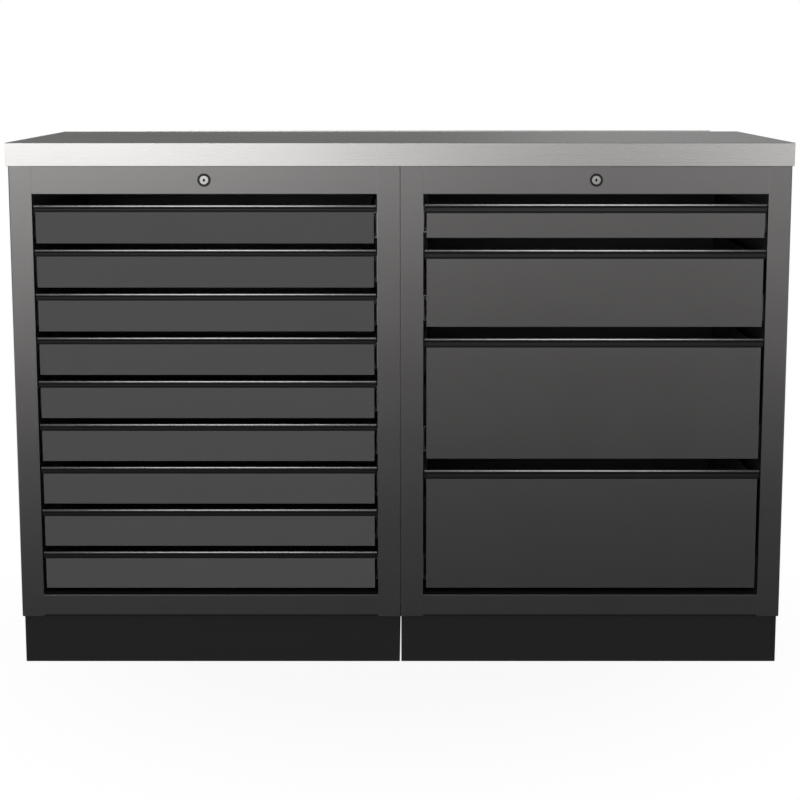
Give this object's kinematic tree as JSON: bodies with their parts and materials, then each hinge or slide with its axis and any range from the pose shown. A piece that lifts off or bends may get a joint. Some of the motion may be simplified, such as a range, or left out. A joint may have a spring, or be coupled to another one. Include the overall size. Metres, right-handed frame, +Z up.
{
  "type": "workbench with drawers",
  "caption": "Workshop bench of two side-by-side drawer cabinets on black plinths under one brushed stainless worktop, with full-width grips and central locks.",
  "frame": {"origin": "middle of the footprint, on the floor", "axes": "+X to the right along the bench, +Y to the back, the drawers open towards -Y, +Z up"},
  "size_m": [1.3624, 0.5, 0.942],
  "materials": {
    "stainless": "brushed lengthwise, satin",
    "board": "raw particle board",
    "cabinet_paint": "charcoal powder coat, satin",
    "front_paint": "dark grey powder coat, fine satin",
    "grip_black": "black anodised, glossy nose",
    "plinth_paint": "black powder coat, matt",
    "zinc": "bright zinc plated",
    "lock_nickel": "satin nickel",
    "lock_black": "black chromated zinc"
  },
  "bodies": {
    "frame": {"worktop_skin": "stainless", "worktop_core": "board", "fixings": "zinc", "fixed_rails": "zinc", "lock_housings": "lock_black", "left_cabinet_left_side": "cabinet_paint", "left_cabinet_right_side": "cabinet_paint", "left_cabinet_back_panel": "cabinet_paint", "left_cabinet_top_rail": "cabinet_paint", "left_cabinet_floor": "cabinet_paint", "left_cabinet_plinth": "plinth_paint", "right_cabinet_left_side": "cabinet_paint", "right_cabinet_right_side": "cabinet_paint", "right_cabinet_back_panel": "cabinet_paint", "right_cabinet_top_rail": "cabinet_paint", "right_cabinet_floor": "cabinet_paint", "right_cabinet_plinth": "plinth_paint"},
    "left_lock": {"left_cabinet_lock_barrel": "lock_nickel"},
    "left_lock_bar": {"left_cabinet_lock_bar": "zinc"},
    "left_drawer_1": {"left_drawer_1_box": "front_paint", "left_drawer_1_grip": "grip_black"},
    "left_drawer_1_middle": {"left_drawer_1_middle_rails": "zinc"},
    "left_drawer_2": {"left_drawer_2_box": "front_paint", "left_drawer_2_grip": "grip_black"},
    "left_drawer_2_middle": {"left_drawer_2_middle_rails": "zinc"},
    "left_drawer_3": {"left_drawer_3_box": "front_paint", "left_drawer_3_grip": "grip_black"},
    "left_drawer_3_middle": {"left_drawer_3_middle_rails": "zinc"},
    "left_drawer_4": {"left_drawer_4_box": "front_paint", "left_drawer_4_grip": "grip_black"},
    "left_drawer_4_middle": {"left_drawer_4_middle_rails": "zinc"},
    "left_drawer_5": {"left_drawer_5_box": "front_paint", "left_drawer_5_grip": "grip_black"},
    "left_drawer_5_middle": {"left_drawer_5_middle_rails": "zinc"},
    "left_drawer_6": {"left_drawer_6_box": "front_paint", "left_drawer_6_grip": "grip_black"},
    "left_drawer_6_middle": {"left_drawer_6_middle_rails": "zinc"},
    "left_drawer_7": {"left_drawer_7_box": "front_paint", "left_drawer_7_grip": "grip_black"},
    "left_drawer_7_middle": {"left_drawer_7_middle_rails": "zinc"},
    "left_drawer_8": {"left_drawer_8_box": "front_paint", "left_drawer_8_grip": "grip_black"},
    "left_drawer_8_middle": {"left_drawer_8_middle_rails": "zinc"},
    "left_drawer_9": {"left_drawer_9_box": "front_paint", "left_drawer_9_grip": "grip_black"},
    "left_drawer_9_middle": {"left_drawer_9_middle_rails": "zinc"},
    "right_lock": {"right_cabinet_lock_barrel": "lock_nickel"},
    "right_lock_bar": {"right_cabinet_lock_bar": "zinc"},
    "right_drawer_1": {"right_drawer_1_box": "front_paint", "right_drawer_1_grip": "grip_black"},
    "right_drawer_1_middle": {"right_drawer_1_middle_rails": "zinc"},
    "right_drawer_2": {"right_drawer_2_box": "front_paint", "right_drawer_2_grip": "grip_black"},
    "right_drawer_2_middle": {"right_drawer_2_middle_rails": "zinc"},
    "right_drawer_3": {"right_drawer_3_box": "front_paint", "right_drawer_3_grip": "grip_black"},
    "right_drawer_3_middle": {"right_drawer_3_middle_rails": "zinc"},
    "right_drawer_4": {"right_drawer_4_box": "front_paint", "right_drawer_4_grip": "grip_black"},
    "right_drawer_4_middle": {"right_drawer_4_middle_rails": "zinc"}
  },
  "joints": [
    {"name": "left_lock_turn", "type": "hinge", "parent": "frame", "child": "left_lock", "pos_m": [-0.34025, -0.24, 0.875], "axis": [0, 1, 0], "range_deg": [0, 90]},
    {"name": "left_lock_bar_lift", "type": "slide", "parent": "frame", "child": "left_lock_bar", "axis": [0, 0, 1], "range_m": [0, 0.012]},
    {"name": "left_drawer_1_slide", "type": "slide", "parent": "frame", "child": "left_drawer_1", "axis": [0, -1, 0], "range_m": [0, 0.4]},
    {"name": "left_drawer_1_middle_slide", "type": "slide", "parent": "frame", "child": "left_drawer_1_middle", "axis": [0, -1, 0], "range_m": [0, 0.2]},
    {"name": "left_drawer_2_slide", "type": "slide", "parent": "frame", "child": "left_drawer_2", "axis": [0, -1, 0], "range_m": [0, 0.4]},
    {"name": "left_drawer_2_middle_slide", "type": "slide", "parent": "frame", "child": "left_drawer_2_middle", "axis": [0, -1, 0], "range_m": [0, 0.2]},
    {"name": "left_drawer_3_slide", "type": "slide", "parent": "frame", "child": "left_drawer_3", "axis": [0, -1, 0], "range_m": [0, 0.4]},
    {"name": "left_drawer_3_middle_slide", "type": "slide", "parent": "frame", "child": "left_drawer_3_middle", "axis": [0, -1, 0], "range_m": [0, 0.2]},
    {"name": "left_drawer_4_slide", "type": "slide", "parent": "frame", "child": "left_drawer_4", "axis": [0, -1, 0], "range_m": [0, 0.4]},
    {"name": "left_drawer_4_middle_slide", "type": "slide", "parent": "frame", "child": "left_drawer_4_middle", "axis": [0, -1, 0], "range_m": [0, 0.2]},
    {"name": "left_drawer_5_slide", "type": "slide", "parent": "frame", "child": "left_drawer_5", "axis": [0, -1, 0], "range_m": [0, 0.4]},
    {"name": "left_drawer_5_middle_slide", "type": "slide", "parent": "frame", "child": "left_drawer_5_middle", "axis": [0, -1, 0], "range_m": [0, 0.2]},
    {"name": "left_drawer_6_slide", "type": "slide", "parent": "frame", "child": "left_drawer_6", "axis": [0, -1, 0], "range_m": [0, 0.4]},
    {"name": "left_drawer_6_middle_slide", "type": "slide", "parent": "frame", "child": "left_drawer_6_middle", "axis": [0, -1, 0], "range_m": [0, 0.2]},
    {"name": "left_drawer_7_slide", "type": "slide", "parent": "frame", "child": "left_drawer_7", "axis": [0, -1, 0], "range_m": [0, 0.4]},
    {"name": "left_drawer_7_middle_slide", "type": "slide", "parent": "frame", "child": "left_drawer_7_middle", "axis": [0, -1, 0], "range_m": [0, 0.2]},
    {"name": "left_drawer_8_slide", "type": "slide", "parent": "frame", "child": "left_drawer_8", "axis": [0, -1, 0], "range_m": [0, 0.4]},
    {"name": "left_drawer_8_middle_slide", "type": "slide", "parent": "frame", "child": "left_drawer_8_middle", "axis": [0, -1, 0], "range_m": [0, 0.2]},
    {"name": "left_drawer_9_slide", "type": "slide", "parent": "frame", "child": "left_drawer_9", "axis": [0, -1, 0], "range_m": [0, 0.4]},
    {"name": "left_drawer_9_middle_slide", "type": "slide", "parent": "frame", "child": "left_drawer_9_middle", "axis": [0, -1, 0], "range_m": [0, 0.2]},
    {"name": "right_lock_turn", "type": "hinge", "parent": "frame", "child": "right_lock", "pos_m": [0.34025, -0.24, 0.875], "axis": [0, 1, 0], "range_deg": [0, 90]},
    {"name": "right_lock_bar_lift", "type": "slide", "parent": "frame", "child": "right_lock_bar", "axis": [0, 0, 1], "range_m": [0, 0.012]},
    {"name": "right_drawer_1_slide", "type": "slide", "parent": "frame", "child": "right_drawer_1", "axis": [0, -1, 0], "range_m": [0, 0.4]},
    {"name": "right_drawer_1_middle_slide", "type": "slide", "parent": "frame", "child": "right_drawer_1_middle", "axis": [0, -1, 0], "range_m": [0, 0.2]},
    {"name": "right_drawer_2_slide", "type": "slide", "parent": "frame", "child": "right_drawer_2", "axis": [0, -1, 0], "range_m": [0, 0.4]},
    {"name": "right_drawer_2_middle_slide", "type": "slide", "parent": "frame", "child": "right_drawer_2_middle", "axis": [0, -1, 0], "range_m": [0, 0.2]},
    {"name": "right_drawer_3_slide", "type": "slide", "parent": "frame", "child": "right_drawer_3", "axis": [0, -1, 0], "range_m": [0, 0.4]},
    {"name": "right_drawer_3_middle_slide", "type": "slide", "parent": "frame", "child": "right_drawer_3_middle", "axis": [0, -1, 0], "range_m": [0, 0.2]},
    {"name": "right_drawer_4_slide", "type": "slide", "parent": "frame", "child": "right_drawer_4", "axis": [0, -1, 0], "range_m": [0, 0.4]},
    {"name": "right_drawer_4_middle_slide", "type": "slide", "parent": "frame", "child": "right_drawer_4_middle", "axis": [0, -1, 0], "range_m": [0, 0.2]}
  ],
  "couplings": [
    {"joint": "left_lock_turn", "follows": "left_lock_bar_lift", "rad_per_m": 130.8},
    {"joint": "left_drawer_1_middle_slide", "follows": "left_drawer_1_slide", "ratio": 0.5},
    {"joint": "left_drawer_2_middle_slide", "follows": "left_drawer_2_slide", "ratio": 0.5},
    {"joint": "left_drawer_3_middle_slide", "follows": "left_drawer_3_slide", "ratio": 0.5},
    {"joint": "left_drawer_4_middle_slide", "follows": "left_drawer_4_slide", "ratio": 0.5},
    {"joint": "left_drawer_5_middle_slide", "follows": "left_drawer_5_slide", "ratio": 0.5},
    {"joint": "left_drawer_6_middle_slide", "follows": "left_drawer_6_slide", "ratio": 0.5},
    {"joint": "left_drawer_7_middle_slide", "follows": "left_drawer_7_slide", "ratio": 0.5},
    {"joint": "left_drawer_8_middle_slide", "follows": "left_drawer_8_slide", "ratio": 0.5},
    {"joint": "left_drawer_9_middle_slide", "follows": "left_drawer_9_slide", "ratio": 0.5},
    {"joint": "right_lock_turn", "follows": "right_lock_bar_lift", "rad_per_m": 130.8},
    {"joint": "right_drawer_1_middle_slide", "follows": "right_drawer_1_slide", "ratio": 0.5},
    {"joint": "right_drawer_2_middle_slide", "follows": "right_drawer_2_slide", "ratio": 0.5},
    {"joint": "right_drawer_3_middle_slide", "follows": "right_drawer_3_slide", "ratio": 0.5},
    {"joint": "right_drawer_4_middle_slide", "follows": "right_drawer_4_slide", "ratio": 0.5}
  ]
}
